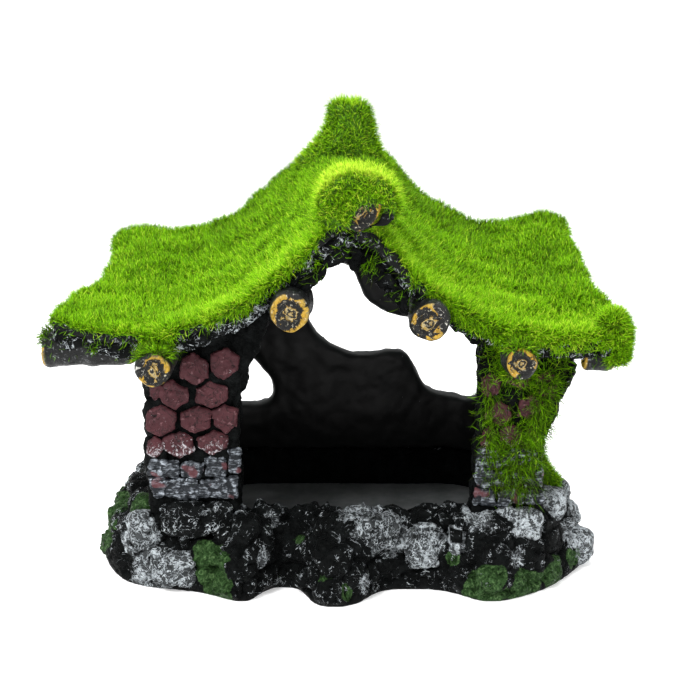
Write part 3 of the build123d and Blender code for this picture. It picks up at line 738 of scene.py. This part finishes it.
def fibres(name, sources, count, length, density, lean, shade, seed, droop=0.0, spread=1.05, thick=0.08):
    """Closed needles rooted on the source meshes. Density is worked out per face, lean and shade per root."""
    global fibre_total
    rng = np.random.default_rng(seed)
    corner_sets, normal_sets = [], []
    for source in sources:
        mesh = source.data
        mesh.calc_loop_triangles()
        index = np.empty(len(mesh.loop_triangles) * 3, np.int32)
        mesh.loop_triangles.foreach_get("vertices", index)
        corner_sets.append(points_of(mesh)[index].reshape(-1, 3, 3))
        normal_sets.append(normals_of(mesh)[index].reshape(-1, 3, 3))
    corners, corner_normals = np.concatenate(corner_sets), np.concatenate(normal_sets)
    area = np.linalg.norm(np.cross(corners[:, 1] - corners[:, 0], corners[:, 2] - corners[:, 0]), axis=1) / 2
    middle = corners.mean(1)
    facing = corner_normals.mean(1)
    facing /= np.linalg.norm(facing, axis=1)[:, None] + 1e-9
    weight = area * density(middle, facing)
    weight /= weight.sum()
    pick = rng.choice(len(weight), count, p=weight)
    u, v = rng.random(count), rng.random(count)
    over = u + v > 1
    u[over], v[over] = 1 - u[over], 1 - v[over]
    blend = np.stack([1 - u - v, u, v], axis=1)[:, :, None]
    root = (corners[pick] * blend).sum(1)
    normal = (corner_normals[pick] * blend).sum(1)
    normal /= np.linalg.norm(normal, axis=1)[:, None] + 1e-9

    comb = np.stack([fractal(root, 5.0, seed + 11 * k, 2) for k in range(3)], axis=1)
    way = normal + spread * rng.normal(size=(count, 3)) * 0.6 + 0.6 * comb + lean(root, normal)
    way /= np.linalg.norm(way, axis=1)[:, None]
    reach = length * (0.72 + 0.5 * rng.random(count)) * (1 + 0.2 * fractal(root, 7, seed + 2, 2))
    curl = rng.normal(size=(count, 3)) * 0.22
    curl[:, 2] -= droop
    start = root - way * 0.35
    knee = root + way * (0.5 * reach)[:, None] + curl * (0.22 * reach)[:, None]
    tip = root + way * (0.92 * reach)[:, None] + curl * reach[:, None]

    side = np.cross(way, rng.normal(size=(count, 3)))
    side /= np.linalg.norm(side, axis=1)[:, None] + 1e-9
    other = np.cross(way, side)
    vertices = np.empty((count, 7, 3))
    girth = thick * (0.8 + 0.5 * rng.random(count))
    for k in range(3):
        angle = 2 * math.pi * k / 3
        ring = side * math.cos(angle) + other * math.sin(angle)
        vertices[:, k] = start + ring * girth[:, None]
        vertices[:, 3 + k] = knee + ring * (0.8 * girth)[:, None]
    vertices[:, 6] = tip

    pattern = [(0, 2, 1)]
    for k in range(3):
        n = (k + 1) % 3
        pattern += [(k, n, 3 + n), (k, 3 + n, 3 + k), (3 + k, 3 + n, 6)]
    pattern = np.array(pattern)
    faces = (pattern[None] + 7 * np.arange(count)[:, None, None]).reshape(-1, 3)
    mesh = bpy.data.meshes.new(name)
    mesh.vertices.add(count * 7)
    mesh.loops.add(faces.size)
    mesh.polygons.add(len(faces))
    mesh.vertices.foreach_set("co", (vertices.reshape(-1, 3) * MM).astype(np.float32).ravel())
    mesh.loops.foreach_set("vertex_index", faces.ravel().astype(np.int32))
    mesh.polygons.foreach_set("loop_start", np.arange(0, faces.size, 3, dtype=np.int32))
    mesh.update(calc_edges=True)
    mesh.validate()

    hue = (shade(root, normal) + 0.19 * rng.normal(size=count)).clip(0.01, 0.97)
    across = np.array([0.0, 0.01, 0.02, 0.0, 0.01, 0.02, 0.01])
    upward = np.array([0.02, 0.02, 0.02, 0.5, 0.5, 0.5, 0.98])
    uv = np.stack([hue[:, None] + across[None], np.repeat(upward[None], count, 0)], axis=2).reshape(-1, 2)
    layer = mesh.uv_layers.new(name=FIBRE_UV)
    layer.data.foreach_set("uv", uv[faces.ravel()].astype(np.float32).ravel())
    obj = bpy.data.objects.new(name, mesh)
    bpy.context.scene.collection.objects.link(obj)
    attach(obj, BODY)
    mesh.materials.append(fibre)
    mesh.polygons.foreach_set("use_smooth", np.ones(len(mesh.polygons), bool))
    fibre_total += count
    return obj


# Where the moss ends on the roof's front edge, across and up
FRONT_LINE = [
    (-70, 73.5), (-66.7, 71.5), (-58.3, 69.4), (-50.6, 71), (-48.5, 66), (-45.6, 63), (-42.1, 63.8),
    (-39.2, 68), (-33.4, 69.6), (-27.6, 71.6), (-20.2, 75.4), (-16, 79.4), (-11.4, 83.8), (-8.6, 87),
    (-2.9, 92.5), (0, 94), (9, 93), (12.4, 88), (14.9, 76.5), (16.4, 80.5), (18.3, 75), (23, 69.3),
    (30, 64.5), (34.7, 63.5), (52, 64.5), (57.5, 66), (59.6, 62), (70, 60),
]
FRONT_FACE = -38


def roof_dense(p, n):
    """Thick on the slopes and down to a ragged line on the front edge, with thin patches below it."""
    edge = smoothstep(-0.25, 0.35, n[:, 2])
    patch = 0.5 + 0.5 * fractal(p, 4.5, 77, 3)
    line = np.interp(p[:, 0], *np.transpose(FRONT_LINE)) + 1.6 * fractal(p, 3.0, 78, 2)
    above = np.where(p[:, 1] < FRONT_FACE, smoothstep(-0.6, 1.2, p[:, 2] - line), 1)
    above = np.maximum(above, smoothstep(0.5, 0.8, n[:, 2]))
    side = 0.25 + 0.75 * smoothstep(0.3, 0.7, patch)
    under = smoothstep(-0.9, -0.3, n[:, 2])
    dense = edge + (1 - edge) * side * under
    return dense * (0.05 + 0.95 * above)


def roof_shade(p, n):
    """Painted light and shade: brighter towards the front, darker at the rear and on hanging edges, with
    random tone.
    """
    bright = 0.60 - 0.0022 * (p[:, 1] + 40) + 0.10 * fractal(p, 16, 88, 2) + 0.07 * fractal(p, 4, 89, 2)
    hanging = 1 - smoothstep(-0.3, 0.3, n[:, 2])
    return bright - 0.14 * hanging


def roof_lean(p, n):
    """Fibres stand up on the slopes and hang where the mat turns over the edge."""
    fall = 1 - smoothstep(0.0, 0.6, n[:, 2])
    lean = np.zeros_like(p)
    lean[:, 2] = 0.12 - 0.6 * fall
    lean[:, 1] = -0.12
    return lean


felts = {}


def moss_felt(node, voxel, rounds, grow, seed, height=1.0):
    """The mat of one moss node, softened and clumped."""
    mat = remeshed("felt_" + node, [node], voxel, rounds, grow)
    p, n = points_of(mat.data), normals_of(mat.data)
    rise = height * clumps(p, seed) * smoothstep(-0.5, 0.2, n[:, 2])
    set_points(mat.data, p + n * rise[:, None])
    felts[node] = mat
    return placed(mat, [node], felt)


for side in ("left", "right"):
    mat = moss_felt("moss_roof_" + side, 0.7, 10, -0.2, 600)
    p, n = points_of(mat.data), normals_of(mat.data)
    set_attribute(mat.data, "dense", roof_dense(p, n))

FIBRE_LENGTH = 2.2
ROOF_STRIPS = ((-60, -33), (-33, -14), (-14, 8), (8, 60))
ROOF_FIBRES = 19000
for side in ("left", "right"):
    for number, (low, high) in enumerate(ROOF_STRIPS):
        def density(p, n, low=low, high=high):
            return roof_dense(p, n) * (p[:, 1] >= low) * (p[:, 1] < high)
        fibres(f"fibres_roof_{side}_{number}", [felts["moss_roof_" + side]], ROOF_FIBRES, FIBRE_LENGTH,
               density, roof_lean, roof_shade, 700 + 10 * number + len(side))

# The bare spot on the ridge log's cut end, across and up
BARE = (5.2, 93.4)
RIDGE_FACE = -44


def round_dense(p, n):
    """All over a rounded piece but its underside and the bare spot on the ridge log's cut end."""
    bare = np.hypot(p[:, 0] - BARE[0], p[:, 2] - BARE[1])
    spot = np.where(p[:, 1] < RIDGE_FACE, smoothstep(4.4, 6.0, bare), 1)
    return (0.02 + smoothstep(-0.8, -0.2, n[:, 2])) * spot + 1e-9


# Painted light: the roll's fibres are brighter where they face up and darker towards the rear, with random
# tone.
def roll_shade(p, n):
    return 0.60 + 0.31 * n[:, 2] - 0.0022 * (p[:, 1] + 40) + 0.10 * fractal(p, 5, 91, 2)


# Painted light: the horn's fibres are a little brighter where they face up, with random tone.
def horn_shade(p, n):
    return 0.56 + 0.12 * n[:, 2] + 0.10 * fractal(p, 5, 91, 2)


# How many fibres each rounded piece of moss has, its seed, and what shades them with painted light
ROUNDED_MOSS = {
    "moss_ridge_roll": (9000, 800, roll_shade), "moss_horn": (9500, 820, horn_shade),
    "moss_right_corner": (4500, 840, roof_shade),
}
for node, (count, seed, shade) in ROUNDED_MOSS.items():
    mat = moss_felt(node, 0.5, 6, -0.35, seed, 0.6)
    set_attribute(mat.data, "dense", round_dense(points_of(mat.data), normals_of(mat.data)))
    roots = [mat, horn] if node == "moss_horn" else [mat]
    fibres("fibres_" + node, roots, count, FIBRE_LENGTH, round_dense, lambda p, n: 0.05 * n + (0, 0, 0.1),
           shade, seed)

pier_roots = [bpy.data.objects["sculpted_right_pier"], bpy.data.objects["sculpted_right_pier_cobbles"],
              bpy.data.objects["sculpted_right_pier_bricks"]]
PIER_BALD_SPOTS = [(39.5, -33, 47, 5.2), (38.5, -33, 40, 3.6), (36, -33, 52, 3.0)]


def pier_dense(p, n):
    """Hangs down the front of the right pier, with a thin patch in its middle."""
    front = smoothstep(0.1, 0.6, -n[:, 1])
    middle = 41 + 0.1 * (p[:, 2] - 40)
    half_width = 12 - 0.12 * (62 - p[:, 2])
    column = 1 - smoothstep(0.55, 1.1, np.abs(p[:, 0] - middle) / half_width)
    down = smoothstep(22, 34, p[:, 2] + 6 * fractal(p, 5, 93, 2) + 0.6 * (p[:, 0] - 38))
    bald = 1 - 0.85 * blobs(p, PIER_BALD_SPOTS, 3, 94)
    patch = 0.35 + 0.65 * smoothstep(0.3, 0.6, 0.5 + 0.5 * fractal(p, 4, 95, 2))
    return front * column * down * bald * patch + 1e-9


def pier_lean(p, n):
    """Strands part to both sides, and droop on the lower half."""
    return np.stack([0.15 * np.sign(p[:, 0] - 40), 0 * p[:, 0], 0.15 - 0.4 * (p[:, 2] < 50)], axis=1)


def pier_shade(p, n):
    """Darker towards the foot."""
    return 0.22 + 0.009 * (p[:, 2] - 25) + 0.16 * fractal(p, 4, 96, 2)


strands = fibres("fibres_right_pier", pier_roots, 5200, 3.3, pier_dense, pier_lean, pier_shade, 850,
                 droop=0.12, spread=0.9, thick=0.075)
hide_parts("moss_right_pier")

bank = remeshed("felt_moss_right_bank", ["moss_right_bank"], 0.4, 3, -0.2)
set_attribute(bank.data, "dense", np.ones(len(bank.data.vertices)))
placed(bank, ["moss_right_bank"], felt)
# The bank's fibres take painted light: brighter where they face up.
fibres("fibres_right_bank", [bank], 2200, 1.6, lambda p, n: np.ones(len(p)), lambda p, n: 0.1 * n,
       lambda p, n: 0.5 + 0.15 * n[:, 2], 870)


def sprout_dense(p, n):
    """Sparse tufts along the front edge: on the beams, boards and eave logs."""
    tufts = smoothstep(-0.6, 0.2, n[:, 2]) * (0.06 + smoothstep(0.55, 0.75, 0.5 + 0.5 * fractal(p, 4, 97, 2)))
    on_eave_log = (p[:, 2] < 66) & (np.abs(p[:, 0]) < 50)
    return np.where(on_eave_log, 2.5 * smoothstep(0.45, 0.85, n[:, 2]), tufts)


front_pieces = [bpy.data.objects[n] for n in (
    "cut_front_beam_left", "cut_front_beam_right", "sculpted_gable_board_left", "sculpted_gable_board_right",
    "cut_eave_log_left", "cut_eave_log_right")]
fibres("fibres_front_sprouts", front_pieces, 4600, 2.6, sprout_dense,
       lambda p, n: np.tile((0, -0.3, -0.1), (len(p), 1)),
       lambda p, n: 0.36 + 0.14 * fractal(p, 4, 98, 2), 880, droop=0.1, spread=0.9, thick=0.085)


# ---------------------------------------------------------------- camera, floor, light

AIM = Vector((0, 0, 0.052))
CAMERA_DISTANCE = 0.360
CAMERA_TILT = math.radians(15)
SENSOR = 36.0
FOCAL_IN_FRAME_WIDTHS = 1360 / 700

camera_data = bpy.data.cameras.new("camera")
camera_data.sensor_width = SENSOR
camera_data.lens = FOCAL_IN_FRAME_WIDTHS * SENSOR
camera = bpy.data.objects.new("camera", camera_data)
camera.location = AIM + CAMERA_DISTANCE * Vector((0, -math.cos(CAMERA_TILT), math.sin(CAMERA_TILT)))
camera.rotation_euler = (AIM - camera.location).to_track_quat("-Z", "Y").to_euler()
bpy.context.scene.collection.objects.link(camera)
bpy.context.scene.camera = camera

# A wide floor with low walls round it, far off, so that it fills the view to its top edge
FLOOR = 6.0
BACKDROP = 0.3
table_mesh = bpy.data.meshes.new("floor")
corners = [(-FLOOR, -FLOOR), (FLOOR, -FLOOR), (FLOOR, FLOOR), (-FLOOR, FLOOR)]
table_mesh.from_pydata([(*c, 0) for c in corners] + [(*c, BACKDROP) for c in corners], [],
                       [(0, 1, 2, 3)] + [(k, 4 + k, 4 + (k + 1) % 4, (k + 1) % 4) for k in range(4)])
table = bpy.data.objects.new("floor", table_mesh)
bpy.context.scene.collection.objects.link(table)
paper = Paint("studio_floor", Specular_IOR_Level=0.1, Roughness=0.9, Emission_Strength=0.35)
paper.shader.inputs["Emission Color"].default_value = (1, 1, 1, 1)
table_mesh.materials.append(paper.finish(paper.greys(paper.noise(400, 2), 0.88, 0.9)))

world = bpy.data.worlds.new("studio")
world.use_nodes = True
world.node_tree.nodes["Background"].inputs["Color"].default_value = (1, 1, 1, 1)
world.node_tree.nodes["Background"].inputs["Strength"].default_value = 0.75
bpy.context.scene.world = world
bpy.context.scene.view_settings.view_transform = "Standard"


def softbox(name, place, target, size, power):
    data = bpy.data.lights.new(name, "AREA")
    data.shape = "RECTANGLE"
    data.size, data.size_y = size
    data.energy = power
    light = bpy.data.objects.new(name, data)
    light.location = place
    light.rotation_euler = (Vector(target) - Vector(place)).to_track_quat("-Z", "Y").to_euler()
    bpy.context.scene.collection.objects.link(light)


softbox("key", (-0.40, -0.50, 0.75), (0, 0, 0.06), (0.35, 0.35), 8)
softbox("fill", (0.7, -0.6, 0.4), (0, 0, 0.06), (0.5, 0.5), 2)
softbox("top", (0.0, 0.15, 0.9), (0, 0, 0.06), (0.6, 0.5), 7)
